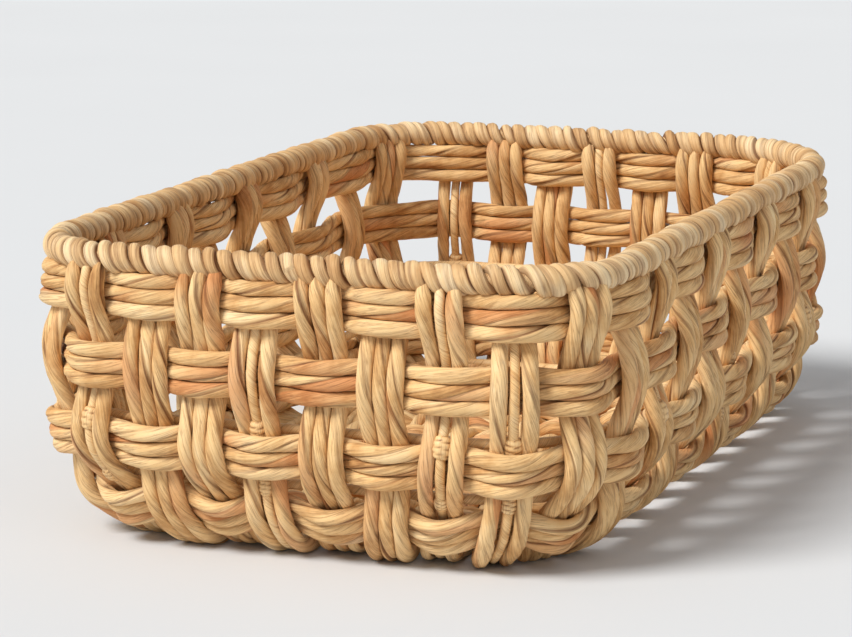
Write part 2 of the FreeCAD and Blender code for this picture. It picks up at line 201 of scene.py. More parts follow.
def profile(level):
    """Inset of the wall at a level, and how far its outward normal tilts down there."""
    fall = 1 - (level - BASE_LEVEL) / CURVE_RISE
    if fall <= 0:
        return 0.0, 0.0
    turn = math.asin(fall)
    inset = BASE_INSET * (1 - math.cos(turn))
    return inset, math.atan(BASE_INSET / CURVE_RISE * math.tan(turn))


class Station:
    """A place on the weave: a point, the way out of the basket, up the wall, and along it."""

    def __init__(self, x, y, angle, level, tilt, quadrant):
        sign_x, sign_y = quadrant
        flat = np.array([sign_x * math.sin(angle), sign_y * math.cos(angle), 0.0])
        down = np.array([0.0, 0.0, -1.0])
        self.point = np.array([sign_x * x, sign_y * y, level])
        self.out = flat * math.cos(tilt) + down * math.sin(tilt)
        self.up = flat * math.sin(tilt) - down * math.cos(tilt)
        self.around = np.array([-flat[1], flat[0], 0.0])


class Upright:
    """Where one strand group runs down the wall, in one quadrant of the basket."""

    def __init__(self, kind, top, base, quadrant):
        self.kind, self.top, self.base, self.quadrant = kind, top, base, quadrant

    def place(self, inset, level, tilt):
        at = self.top + (self.base - self.top) * inset / BASE_INSET
        x, y, angle = self.kind(inset, at, self.quadrant)
        return Station(x, y, angle, level, tilt, self.quadrant)

    def at_level(self, level):
        inset, tilt = profile(level)
        return self.place(inset, level, tilt)

    def at_edge(self, side):
        return self.place(EDGE_INSET, EDGE_LEVEL[side], 0.0)


def across_x(group, where, end):
    offset = END_OFFSETS[end][group - 1] * OFFSET_SHARE[where]
    return (group - 4.5) * ACROSS_PITCH[where] + offset


def along_y(group, where, end):
    return (group - 4) * ALONG_PITCH[where] + END_OFFSETS[end][group] * OFFSET_SHARE[where]


def upright_between(kind, top, base, fixed_sign, turned):
    sign = int(math.copysign(1, top))
    quadrant = (fixed_sign, sign) if turned else (sign, fixed_sign)
    return Upright(kind, top * sign, base * sign, quadrant)


def across_upright(group, sign_y):
    end = "front" if sign_y < 0 else "back"
    top, base = across_x(group, "top", end), across_x(group, "base", end)
    return upright_between(plan_at_x, top, base, sign_y, turned=False)


def along_upright(group, sign_x):
    end = "left" if sign_x < 0 else "right"
    top, base = along_y(group, "top", end), along_y(group, "base", end)
    return upright_between(plan_at_y, top, base, sign_x, turned=True)


def corner_upright(sign_x, sign_y):
    return Upright(plan_at_angle, CORNER_ANGLE["top"], CORNER_ANGLE["base"], (sign_x, sign_y))


RING = [corner_upright(-1, -1)]
RING += [across_upright(group, -1) for group in ACROSS]
RING += [corner_upright(1, -1)]
RING += [along_upright(group, 1) for group in ALONG]
RING += [corner_upright(1, 1)]
RING += [across_upright(group, 1) for group in reversed(ACROSS)]
RING += [corner_upright(-1, 1)]
RING += [along_upright(group, -1) for group in reversed(ALONG)]
CORNERS = {"front_left": 0, "front_right": 9, "back_right": 19, "back_left": 28}


def upright_side(place, band):
    """1 where the upright at this place of the ring is outside the band, -1 where it is inside."""
    return 1 if (place + band) % 2 == 0 else -1


def across_side(across, along):
    """1 where a front to back strand is under a left to right strand of the base, -1 above it."""
    return 1 if (across + along) % 2 else -1


def across_places(group):
    return group, 28 - group


def along_places(group):
    return 10 + group, 37 - group


# ---- cords ------------------------------------------------------------------------------------


class Cord:
    """A cord of the weave: the nodes of its middle line, and its radius there."""

    def __init__(self, piece, targets, outs, seed, closed=False, rib=False):
        self.piece, self.seed, self.closed, self.rib = piece, seed, closed, rib
        self.rng = np.random.default_rng(seed)
        self.nodes, self.outs = even_line(np.array(targets), np.array(outs), NODE_STEP, closed)
        self.along = np.arange(len(self.nodes)) * NODE_STEP
        base = RIB_RADIUS if rib else CORD_RADIUS * self.rng.uniform(0.93, 1.07)
        sway = 0.0 if rib else 0.05
        length = len(self.nodes) * NODE_STEP if closed else None
        self.radius = base * (1 + sway * smooth_noise(self.rng, self.along, 34, length))
        tangent = unit(np.gradient(self.nodes, axis=0))
        across = np.cross(tangent, self.outs)
        loose = 0.35 if rib else 1.0
        sideways = loose * 0.9 * smooth_noise(self.rng, self.along, 42, length)
        outwards = loose * 0.6 * smooth_noise(self.rng, self.along, 36, length)
        self.nodes = self.nodes + across * sideways[:, None] + self.outs * outwards[:, None]


# How far each upright strays along the wall, and how much of that shows at each band.

WANDER_WEIGHT = {1: 0.7, 2: 1.0, 3: 0.8, 4: 0.35}
FRONT_WANDER = (0.5, -0.8, 0.8, -3.2, -3.4, 2.2, -2.2, 0.8, 3.2, 0.6)
wander_rng = np.random.default_rng(11)
WANDER = [float(value) for value in wander_rng.uniform(-2.6, 2.6, len(RING))]
WANDER[: len(FRONT_WANDER)] = FRONT_WANDER


def wall_targets(place, cord):
    """Targets of one cord of an upright, from the rim to the edge of the base, and the way out."""
    upright = RING[place]
    turned = -1 if upright.quadrant[0] * upright.quadrant[1] < 0 else 1
    first_side = upright_side(place, BANDS[0])
    stations = [(upright.at_level(RIM_LEVEL - STRAND_TOP_DROP), 0.5 * first_side, 0.0)]
    stations.append((upright.at_level(RIM_LEVEL - UNDER_RIM_DROP), 0.95 * first_side, 0.3))
    for band in BANDS:
        side = upright_side(place, band)
        level = BAND_LEVEL[band]
        if band == BANDS[0]:
            level -= RIM_FLOAT_SHIFT
        if band == BANDS[-1]:
            level += side * FOOT_FLOAT_SHIFT
        stations.append((upright.at_level(level), side, WANDER_WEIGHT[band]))
    stations.append((upright.at_edge(upright_side(place, BANDS[-1])), 0, 0.1))
    targets, outs = [], []
    for station, side, weight in stations:
        spread = CORD_SPACING * (SPREAD_OUTSIDE if side > 0 else SPREAD_INSIDE)
        sideways = turned * cord * spread + weight * WANDER[place]
        targets.append(station.point + station.out * (side * FLOAT_RISE) + station.around * sideways)
        outs.append(station.out)
    outs[-1] = unit(outs[-1] + np.array([0.0, 0.0, -1.0]))
    return targets, outs


def crossing(across, along):
    """Where the middles of two strand groups cross in the base."""
    front, back = (across_x(across, "base", end) for end in ("front", "back"))
    left, right = (along_y(along, "base", end) for end in ("left", "right"))
    x, y = (front + back) / 2, (left + right) / 2
    for _ in range(CROSSING_ROUNDS):
        x = (front + back) / 2 + (back - front) / 2 * y / (HALF_LENGTH - EDGE_INSET)
        y = (left + right) / 2 + (right - left) / 2 * x / (HALF_WIDTH - EDGE_INSET)
    return x, y


def own_side(place, cord, axis):
    """The targets of the cord of an upright that lies on a cord's own side of its group."""
    one, other = wall_targets(place, cord), wall_targets(place, -cord)
    return one if (one[0][0][axis] - other[0][0][axis]) * cord >= 0 else other


def strand_targets(group, cord, across):
    """Targets of a cord that runs down one wall, through the base and up the other wall."""
    places = across_places(group) if across else along_places(group)[::-1]
    axis = 0 if across else 1
    start, start_outs = own_side(places[0], cord, axis)
    end, end_outs = own_side(places[1], cord, axis)
    others = ALONG if across else ACROSS
    middle, middle_outs = [], []
    for other in others:
        side = across_side(group, other) if across else -across_side(other, group)
        x, y = crossing(group, other) if across else crossing(other, group)
        at_end = other in (others[0], others[-1])
        shift = FIRST_FLOAT_SHIFT[across] if side > 0 and at_end else 0
        if across:
            x, y = x + cord * CORD_SPACING, y - math.copysign(shift, y)
        else:
            x, y = x - math.copysign(shift, x), y + cord * CORD_SPACING
        middle.append(np.array([x, y, BASE_LEVEL - side * FLOAT_RISE]))
        middle_outs.append(np.array([0.0, 0.0, -1.0]))
    return start + middle + end[::-1], start_outs + middle_outs + end_outs[::-1]


def corner_targets(place, cord):
    targets, outs = wall_targets(place, cord)
    edge = RING[place].at_edge(upright_side(place, BANDS[-1]))
    down = np.array([0.0, 0.0, -1.0])
    inner = targets[-1] - edge.out * 9 + down * -1.5
    return targets + [inner], outs + [down]


def band_targets(band, cord):
    """Targets of one cord of a wall band, all the way round."""
    targets, outs = [], []
    for place in range(len(RING)):
        station = RING[place].at_level(BAND_LEVEL[band])
        strayed = station.around * WANDER_WEIGHT[band] * WANDER[place]
        shift = station.up * (cord * CORD_SPACING) + strayed
        targets.append(station.point - station.out * (upright_side(place, band) * FLOAT_RISE) + shift)
        outs.append(station.out)
    return targets, outs


def ring_line(half_x, half_y, radii, level, step):
    """Points round a ring from the middle of the front, the way out at each, and its length."""
    track, outs = [(0.0, -half_y)], [(0.0, -1.0)]
    for turn, quadrant in enumerate(((1, -1), (1, 1), (-1, 1), (-1, -1))):
        angle = np.radians(np.arange(-90, 1, 2) + 90 * turn)
        way = np.stack([np.cos(angle), np.sin(angle)], axis=1)
        middle_x, middle_y = half_x - radii[quadrant], half_y - radii[quadrant]
        centre = np.array([quadrant[0] * middle_x, quadrant[1] * middle_y])
        track.extend(centre + way * radii[quadrant])
        outs.extend(way)
    track, outs = np.array(track + track[:1]), np.array(outs + outs[:1])
    along = np.concatenate([[0], np.cumsum(np.linalg.norm(np.diff(track, axis=0), axis=1))])
    at = np.arange(int(round(along[-1] / step))) * step
    at = at * along[-1] / (len(at) * step)
    flat = [np.interp(at, along, values) for values in (*track.T, *outs.T)]
    points = np.stack([flat[0], flat[1], np.full(len(at), level)], axis=1)
    return points, unit(np.stack([flat[2], flat[3], np.zeros(len(at))], axis=1)), along[-1]


def hoop_line(name, step):
    half_x, half_y, level, radius = ring_size(f"{name}_wrap")
    radii = {quadrant: plan(HALF_WIDTH - half_x, quadrant)[2] for quadrant in CORNER_RADII}
    points, outs, total = ring_line(half_x, half_y, radii, level, step)
    return points, outs, total, radius


cords = []
for band in BANDS:
    for cord in (-1, 0, 1):
        targets, outs = band_targets(band, cord)
        cords.append(Cord(f"wall_band_{band}_cords", targets, outs, 100 * band + cord + 1, closed=True))
for across, groups, ribbed, kind in (
    (True, ACROSS, RIBBED_ACROSS, "front_back_strand"),
    (False, ALONG, RIBBED_ALONG, "left_right_strand"),
):
    for group in groups:
        for cord in (-1, 0, 1):
            rib = cord == 0 and group in ribbed
            piece = f"{kind}_{group:02d}_{'rib_wrap' if rib else 'cords'}"
            targets, outs = strand_targets(group, cord, across)
            seed = (1000 if across else 2000) + 10 * group + cord + 1
            cords.append(Cord(piece, targets, outs, seed, rib=rib))
for name, place in CORNERS.items():
    for cord in (-1, 0, 1):
        targets, outs = corner_targets(place, cord)
        cords.append(Cord(f"corner_stakes_{name}", targets, outs, 3000 + 10 * place + cord + 1))

# The weave settles: cords that run into each other move apart, and none goes below the floor.

nodes = np.concatenate([cord.nodes for cord in cords])
radii = np.concatenate([cord.radius for cord in cords])
owner = np.concatenate([np.full(len(cord.nodes), index) for index, cord in enumerate(cords)])
starts = np.concatenate([[0], np.cumsum([len(cord.nodes) for cord in cords])])
before, after = np.arange(len(nodes)) - 1, np.arange(len(nodes)) + 1
for index, cord in enumerate(cords):
    first, last = starts[index], starts[index + 1] - 1
    before[first], after[last] = (last, first) if cord.closed else (first, last)

fixed_points, fixed_radii = [], []
for name in ("upper_hoop", "lower_hoop", "base_ring"):
    points, _, _, radius = hoop_line(name, NODE_STEP)
    fixed_points.append(points)
    fixed_radii.append(np.full(len(points), radius))
fixed_nodes = np.concatenate(fixed_points)
fixed_owner = np.full(len(fixed_nodes), len(cords))
all_radii = np.concatenate([radii, *fixed_radii])
all_owner = np.concatenate([owner, fixed_owner])


def contact_pairs(points, reach):
    tree = KDTree(len(points))
    for index, point in enumerate(points):
        tree.insert(point, index)
    tree.balance()
    pairs = [
        (index, other)
        for index, point in enumerate(points)
        for _, other, _ in tree.find_range(point, reach)
        if other > index and all_owner[other] != all_owner[index]
    ]
    return np.array(pairs).T


def settle(rest, rounds):
    """Moves the nodes apart until no cord is pressed into another by more than it would give."""
    moved = rest.copy()
    count = len(rest)
    contact = all_radii * 0.94
    for turn in range(rounds):
        everything = np.concatenate([moved, fixed_nodes])
        if turn % 12 == 0:
            first, second = contact_pairs(everything, 2 * CORD_RADIUS + 2)
        way = everything[second] - everything[first]
        distance = np.maximum(np.linalg.norm(way, axis=1), 0.1)
        over = np.maximum(contact[first] + contact[second] - distance, 0)
        push = way * (0.22 * over / distance)[:, None]
        total = np.zeros_like(everything)
        for axis in range(3):
            total[:, axis] += np.bincount(second, push[:, axis], len(everything))
            total[:, axis] -= np.bincount(first, push[:, axis], len(everything))
        moved = moved + total[:count]
        shift = moved - rest
        for _ in range(2):
            shift = shift + 0.35 * ((shift[before] + shift[after]) / 2 - shift)
        moved = rest + shift * 0.985
        low = contact[:count] - 0.15
        moved[:, 2] = np.maximum(moved[:, 2], low)
    return moved


nodes = settle(nodes, RELAX_ROUNDS)
for index, cord in enumerate(cords):
    cord.nodes = nodes[starts[index] : starts[index + 1]]

# ---- meshes -----------------------------------------------------------------------------------

everything = np.concatenate([nodes, fixed_nodes])
tangents = np.zeros_like(everything)
for index, cord in enumerate(cords):
    part = slice(starts[index], starts[index + 1])
    tangents[part] = unit(np.gradient(cord.nodes, axis=0))
tangents[len(nodes) :] = unit(np.gradient(fixed_nodes, axis=0))
contact_tree = KDTree(len(everything))
for index, point in enumerate(everything):
    contact_tree.insert(point, index)
contact_tree.balance()

MAX_CONTACTS = 7


def contact_planes(centres, radius, own):
    """The nearest point of each neighbouring cord, as planes that share out the room between them."""
    normals = np.zeros((len(centres), MAX_CONTACTS, 3))
    limits = np.full((len(centres), MAX_CONTACTS), 1e3)
    for row, (centre, size) in enumerate(zip(centres, radius)):
        nearest = {}
        for _, other, distance in contact_tree.find_range(centre, size + 5.4):
            line = all_owner[other]
            if line != own and (line not in nearest or distance < nearest[line][0]):
                nearest[line] = (distance, other)
        for slot, (_, other) in enumerate(sorted(nearest.values())[:MAX_CONTACTS]):
            way = everything[other] - centre
            way = way - tangents[other] * np.clip(way @ tangents[other], -NODE_STEP, NODE_STEP)
            distance = max(math.sqrt(way @ way), 1.0)
            limit = (distance**2 + size**2 - all_radii[other] ** 2) / (2 * distance)
            normals[row, slot] = way / distance
            limits[row, slot] = max(limit, 0.45 * size) - 0.06
    return normals, limits


def soft_excess(amount, softness):
    """How far a value is past nought, with a rounded corner."""
    rounded = (amount + softness) ** 2 / (4 * softness)
    return np.where(amount > softness, amount, np.where(amount < -softness, 0.0, rounded))


def press(offsets, centres, radius, own):
    """Flattens a cord's rings where they meet their neighbours and the floor."""
    normals, limits = contact_planes(centres, radius, own)
    for slot in range(MAX_CONTACTS):
        reach = np.einsum("rvc,rc->rv", offsets, normals[:, slot]) - limits[:, slot, None]
        offsets = offsets - soft_excess(reach, 0.45)[..., None] * normals[:, slot, None, :]
    depth = 0.25 - (centres[:, None, 2] + offsets[..., 2])
    offsets[..., 2] += soft_excess(depth, 0.2)
    return offsets


class Surface:
    """Vertices, faces and point attributes of one piece, gathered from its cords."""

    def __init__(self):
        self.points, self.fibre, self.look = [], [], []
        self.quads, self.triangles = [], []
        self.count = 0

    def add_rings(self, grid, fibre, look, closed):
        rows, columns = grid.shape[:2]
        row = np.arange(rows if closed else rows - 1)[:, None]
        column = np.arange(columns)[None, :]
        next_row, next_column = (row + 1) % rows, (column + 1) % columns
        corners = [row * columns + column, row * columns + next_column]
        corners += [next_row * columns + next_column, next_row * columns + column]
        quads = np.stack([np.broadcast_to(c, (len(row), columns)) for c in corners], axis=-1)
        self.quads.append(quads.reshape(-1, 4) + self.count)
        self.points.append(grid.reshape(-1, 3))
        self.fibre.append(fibre.reshape(-1, 3))
        self.look.append(look.reshape(-1, 4))
        base = self.count
        self.count += rows * columns
        if closed:
            return
        for end, order in ((0, -1), (rows - 1, 1)):
            around = base + end * columns + np.arange(columns)
            fan = np.stack([around, np.roll(around, -1), np.full(columns, self.count)], axis=1)
            self.triangles.append(fan[:, ::order] if order == 1 else fan[:, [1, 0, 2]])
            self.points.append(grid[end].mean(axis=0)[None])
            self.fibre.append(fibre[end].mean(axis=0)[None])
            self.look.append(look[end].mean(axis=0)[None])
            self.count += 1

    def to_object(self, name, material):
        points = np.concatenate(self.points) * MM
        quads = np.concatenate(self.quads)
        triangles = np.concatenate(self.triangles) if self.triangles else np.zeros((0, 3), int)
        mesh = bpy.data.meshes.new(name)
        mesh.vertices.add(len(points))
        mesh.vertices.foreach_set("co", points.astype(np.float32).ravel())
        corners = np.concatenate([quads.ravel(), triangles.ravel()])
        mesh.loops.add(len(corners))
        mesh.loops.foreach_set("vertex_index", corners.astype(np.int32))
        mesh.polygons.add(len(quads) + len(triangles))
        first = np.arange(len(quads)) * 4
        rest = len(quads) * 4 + np.arange(len(triangles)) * 3
        mesh.polygons.foreach_set("loop_start", np.concatenate([first, rest]).astype(np.int32))
        mesh.polygons.foreach_set("use_smooth", np.ones(len(quads) + len(triangles), bool))
        mesh.update(calc_edges=True)
        fibre = mesh.attributes.new("fibre", "FLOAT_VECTOR", "POINT")
        fibre.data.foreach_set("vector", np.concatenate(self.fibre).astype(np.float32).ravel())
        look = mesh.attributes.new("look", "FLOAT_COLOR", "POINT")
        look.data.foreach_set("color", np.concatenate(self.look).astype(np.float32).ravel())
        mesh.materials.append(material)
        made = bpy.data.objects.new(name, mesh)
        bpy.context.scene.collection.objects.link(made)
        return made


STRIP_PLACES = {8: (0, 0.05, 0.16, 0.32, 0.5, 0.68, 0.84, 0.95), 6: (0, 0.07, 0.26, 0.5, 0.74, 0.93)}
TWIST_LENGTH = 74.0


def twisted_cord(surface, cord, own):
    """A cord twisted of leaf strips, with a crease where one strip meets the next."""
    rng = cord.rng
    count = len(cord.nodes)
    length = count * NODE_STEP if cord.closed else (count - 1) * NODE_STEP
    rows = int(round(length / RING_STEP))
    at = np.linspace(0, count if cord.closed else count - 1, rows, endpoint=not cord.closed)
    at = np.minimum(at, (count if cord.closed else count - 1) - 1e-6)
    centres = spline(cord.nodes, at, cord.closed)
    outs = spline(cord.outs, at, cord.closed)
    along = at * NODE_STEP
    if cord.closed:
        tangent = unit(np.roll(centres, -1, axis=0) - np.roll(centres, 1, axis=0))
    else:
        tangent = unit(np.gradient(centres, axis=0))
    normal = unit(outs - tangent * np.sum(outs * tangent, axis=1, keepdims=True))
    side = np.cross(tangent, normal)
    radius = spline(cord.radius[:, None], at, cord.closed)[:, 0]
    if not cord.closed:
        end = np.minimum(along, along[-1] - along)
        radius = radius * (0.72 + 0.28 * np.clip(end / 6, 0, 1))
    span = length if cord.closed else None
    twist_length = TWIST_LENGTH * rng.uniform(0.8, 1.35)
    turns = length / twist_length
    if cord.closed:
        turns = max(1, round(turns))
    phase = -2 * math.pi * turns * along / length + rng.uniform(0, 2 * math.pi)
    phase = phase + 0.5 * smooth_noise(rng, along, 55, span) + 0.25 * smooth_noise(rng, along, 21, span)

    strips = int(rng.choice([2, 2, 3]))
    edges = np.sort((np.arange(strips) + rng.uniform(-0.22, 0.22, strips)) * 2 * math.pi / strips)
    widths = np.diff(np.append(edges, edges[0] + 2 * math.pi))
    places = np.array(STRIP_PLACES[COLUMNS_PER_STRIP])
    if strips == 2:
        places = np.sort(np.concatenate([places, (places[1:-1] + places[2:]) / 2]))[: len(places) + 4]
    angle, share, strip = [], [], []
    for index in range(strips):
        for place in places:
            angle.append(edges[index] + widths[index] * place)
            share.append(place)
            strip.append(index)
    angle, share, strip = np.array(angle), np.array(share), np.array(strip)
    from_edge = np.minimum(share, 1 - share) * widths[strip] * CORD_RADIUS
    nearest = np.where(share < 0.5, strip, (strip + 1) % strips)

    depth = np.stack([0.58 + 0.5 * smooth_noise(rng, along, 26, span) for _ in range(strips)], axis=1)
    step = np.stack([0.3 * smooth_noise(rng, along, 48, span) for _ in range(strips)], axis=1)
    tone = np.stack(
        [
            0.6 * smooth_noise(rng, along, 52, span) + 0.4 * smooth_noise(rng, along, 17, span)
            for _ in range(strips)
        ],
        axis=1,
    )
    blush = np.stack([smooth_noise(rng, along, 60, span) for _ in range(strips)], axis=1)
    groove = np.exp(-((from_edge / 0.36) ** 2)) * 0.82 + np.exp(-((from_edge / 1.1) ** 2)) * 0.18
    dip = 1.05 * depth[:, nearest] * groove[None, :]
    lean = step[:, strip] * (0.5 - share)[None, :] * np.clip(widths[strip] / 2, 0.6, 1.2)[None, :]
    swell = 0.16 * np.sin(math.pi * share)[None, :] + 0.28 * np.cos(2 * (angle - edges[0]))[None, :]
    ripple = np.zeros((rows, len(angle)))
    for column in range(len(angle)):
        ripple[:, column] = 0.07 * smooth_noise(rng, along, 9, span)
        ripple[:, column] += 0.05 * smooth_noise(rng, along, 4, span)
    ring = radius[:, None] + swell - dip + lean + ripple
    turn = phase[:, None] + angle[None, :]
    offsets = ring[..., None] * (
        np.cos(turn)[..., None] * normal[:, None, :] + np.sin(turn)[..., None] * side[:, None, :]
    )
    pressed = press(offsets, centres, radius, own)
    # How far each ring was pressed in by its neighbours and the floor; it is used only for painted
    # shade where cords touch.
    squeezed = np.linalg.norm(pressed - offsets, axis=2)
    grid = centres[:, None, :] + pressed

    fibre = np.zeros((rows, len(angle), 3))
    fibre[..., 0] = np.cos(angle)[None, :] * CORD_RADIUS + cord.seed % 97 * 11.0
    fibre[..., 1] = np.sin(angle)[None, :] * CORD_RADIUS
    fibre[..., 2] = along[:, None]
    look = np.ones((rows, len(angle), 4))
    own_tone = rng.uniform(-0.2, 0.2)
    look[..., 0] = 0.53 + 0.5 * (0.6 * tone[:, strip] + own_tone)
    # The second look channel is painted shade: darker along the creases between strips, more so where
    # the groove is deeper, and where the cord is pressed against a neighbour or the floor.
    crease = np.clip(depth[:, nearest], 0, 1) * np.exp(-((from_edge / 0.55) ** 2))[None, :]
    look[..., 1] = np.maximum(crease, 0.85 * np.clip((squeezed - 0.1) / 0.7, 0, 1))
    look[..., 2] = 0.5 + 0.5 * blush[:, strip]
    surface.add_rings(grid, fibre, look, cord.closed)


def wrapped_tube(surface, centres, outs, radius, seed, closed, strip_width=12.0):
    """A rod wound with a flat leaf strip, each turn lapping over the last."""
    rng = np.random.default_rng(seed)
    rows, columns = len(centres), 16
    along = np.concatenate([[0], np.cumsum(np.linalg.norm(np.diff(centres, axis=0), axis=1))])
    span = along[-1] + along[1] if closed else None
    if closed:
        tangent = unit(np.roll(centres, -1, axis=0) - np.roll(centres, 1, axis=0))
    else:
        tangent = unit(np.gradient(centres, axis=0))
    normal = unit(outs - tangent * np.sum(outs * tangent, axis=1, keepdims=True))
    side = np.cross(tangent, normal)
    pitch = strip_width * rng.uniform(0.9, 1.2)
    length = span or along[-1]
    turns = max(1, round(length / pitch))
    phase = -2 * math.pi * turns * along / length + 0.7 * smooth_noise(rng, along, 30, span)
    share = np.arange(columns) / (columns - 1)
    angle = share * 2 * math.pi * 0.995
    lap = 0.16 * (0.5 - share)
    body = radius - 0.12 + 0.12 * smooth_noise(rng, along, 13, span)
    turn = phase[:, None] + angle[None, :]
    ring = body[:, None] + lap[None, :]
    offsets = ring[..., None] * (
        np.cos(turn)[..., None] * normal[:, None, :] + np.sin(turn)[..., None] * side[:, None, :]
    )
    grid = centres[:, None, :] + offsets
    fibre = np.zeros((rows, columns, 3))
    fibre[..., 0] = np.cos(angle)[None, :] * radius + seed % 89 * 13.0
    fibre[..., 1] = np.sin(angle)[None, :] * radius
    fibre[..., 2] = along[:, None]
    look = np.ones((rows, columns, 4))
    look[..., 0] = 0.6 + 0.22 * smooth_noise(rng, along, 25, span)[:, None]
    from_lap = np.minimum(share, 1 - share) * 2 * math.pi * radius
    # Painted shade along the edge where each turn of strip laps over the last.
    look[..., 1] = 0.25 * np.exp(-((from_lap / 0.5) ** 2))[None, :]
    look[..., 2] = 0.35 + 0.3 * smooth_noise(rng, along, 50, span)[:, None]
    surface.add_rings(grid, fibre, look, closed)


def bare_rod(surface, centres, outs, radius):
    """A plain round rod."""
    columns = 10
    tangent = unit(np.gradient(centres, axis=0))
    normal = unit(outs - tangent * np.sum(outs * tangent, axis=1, keepdims=True))
    side = np.cross(tangent, normal)
    angle = np.arange(columns) / columns * 2 * math.pi
    turned_out, turned_aside = np.cos(angle)[None, :, None], np.sin(angle)[None, :, None]
    around = turned_out * normal[:, None] + turned_aside * side[:, None]
    grid = centres[:, None, :] + radius * around
    surface.add_rings(grid, grid * 1.0, np.full((*grid.shape[:2], 4), 0.5), False)


def lashing(surface, centres, outs, bulge, seed):
    """A few turns of leaf strip wound over a rod, thickest in the middle."""
    rng = np.random.default_rng(seed)
    rows, columns = len(centres), 18
    share = np.linspace(0, 1, rows)
    tangent = unit(np.gradient(centres, axis=0))
    normal = unit(outs - tangent * np.sum(outs * tangent, axis=1, keepdims=True))
    side = np.cross(tangent, normal)
    angle = np.arange(columns) / columns * 2 * math.pi
    turns = share[:, None] * 3.6 + angle[None, :] / (2 * math.pi) * 0.9 + rng.uniform(0, 1)
    ridge = np.abs(np.sin(math.pi * turns))
    ring = RIB_RADIUS - 0.3 + bulge * np.sqrt(np.sin(math.pi * share))[:, None] + 0.55 * ridge
    turned_out, turned_aside = np.cos(angle)[None, :, None], np.sin(angle)[None, :, None]
    around = turned_out * normal[:, None] + turned_aside * side[:, None]
    grid = centres[:, None, :] + ring[..., None] * around
    level = np.zeros_like(ring)
    fibre = [level + seed % 71, ring * np.sin(angle)[None, :], level + share[:, None] * 9]
    fibre = np.stack(fibre, axis=-1)
    look = np.ones((rows, columns, 4))
    # Painted light: lighter on the top of each turn, with painted shade in the grooves between turns.
    look[..., 0] = 0.45 + 0.2 * ridge
    look[..., 1] = np.clip(1 - ridge * 2.2, 0, 1)
    look[..., 2] = 0.5
    surface.add_rings(grid, fibre, look, False)


RIM_TURNS = 184
RIM_STARTS = 2
RIM_CORE_RADIUS = 4.4


def rim_winding(surface):
    """Two cords wound side by side round the rim wire, in turns that are never quite alike."""
    step = 1.0
    radii = {quadrant: plan(0.0, quadrant)[2] for quadrant in CORNER_RADII}
    points, outs, total = ring_line(HALF_WIDTH, HALF_LENGTH, radii, RIM_LEVEL, step)
    amount = len(points)
    pitch = total / RIM_TURNS * RIM_STARTS
    turns = RIM_TURNS // RIM_STARTS
    rise = np.array([0.0, 0.0, 1.0])
    samples = 26
    rows = turns * samples
    columns = 20
    u = np.arange(rows) / rows * total
    for start in range(RIM_STARTS):
        own = np.random.default_rng(770 + start)
        sway = 1.3 * smooth_noise(own, u, 19, total) + 0.9 * smooth_noise(own, u, 7.3, total)
        phase = -2 * math.pi * (u / pitch + start / RIM_STARTS)
        at = ((u + sway) % total) / total * amount
        axis = spline(points, at, True)
        out = unit(spline(outs, at, True))
        lift = RIM_RADIUS - 2.5 + 0.8 * smooth_noise(own, u, 10, total)
        centres = axis + lift[:, None] * (np.cos(phase)[:, None] * out + np.sin(phase)[:, None] * rise)
        tangent = unit(np.roll(centres, -1, axis=0) - np.roll(centres, 1, axis=0))
        normal = unit(centres - axis)
        normal = unit(normal - tangent * np.sum(normal * tangent, axis=1, keepdims=True))
        side = np.cross(tangent, normal)
        half = 4.2 * (1 + 0.2 * smooth_noise(own, u, 14, total))
        thick = 3.35 * (1 + 0.14 * smooth_noise(own, u, 12, total))
        angle = np.arange(columns) / columns * 2 * math.pi
        wide, tall = np.sin(angle), np.cos(angle)
        folded = np.sin((angle[None, :] - 0.5 * phase[:, None] / 7) * 1.5 + start)
        fold = np.exp(-((folded / 0.3) ** 2))
        ridge = 1 - 0.09 * fold
        width = half[:, None] * np.sign(wide) * np.abs(wide)[None, :] ** 0.98
        height = thick[:, None] * np.sign(tall) * np.abs(tall)[None, :] ** 0.88
        offsets = ridge[..., None] * (
            height[..., None] * normal[:, None, :] + width[..., None] * side[:, None, :]
        )
        grid = centres[:, None, :] + offsets
        along = u / total * rows * 1.3
        fibre = np.zeros((rows, columns, 3))
        fibre[..., 0] = wide[None, :] * 4 + 500 * start
        fibre[..., 1] = tall[None, :] * 4
        fibre[..., 2] = along[:, None]
        look = np.ones((rows, columns, 4))
        tone = smooth_noise(own, u, 9, total) * 0.6 + 0.4 * smooth_noise(own, u, 40, total)
        look[..., 0] = (0.64 + 0.34 * tone)[:, None]
        # Painted shade in each strip's fold and along its flanks, where one turn meets the next.
        look[..., 1] = 0.55 * fold + 0.55 * np.exp(-(((1 - np.abs(wide)) / 0.16) ** 2))[None, :]
        look[..., 2] = (0.4 + 0.35 * smooth_noise(own, u, 25, total))[:, None]
        surface.add_rings(grid, fibre, look, True)


# ---- materials --------------------------------------------------------------------------------


def srgb(red, green, blue):
    """A linear colour from its 8-bit sRGB values."""
    channels = [value / 255 for value in (red, green, blue)]
    linear = [c / 12.92 if c <= 0.04045 else ((c + 0.055) / 1.055) ** 2.4 for c in channels]
    return (*linear, 1.0)


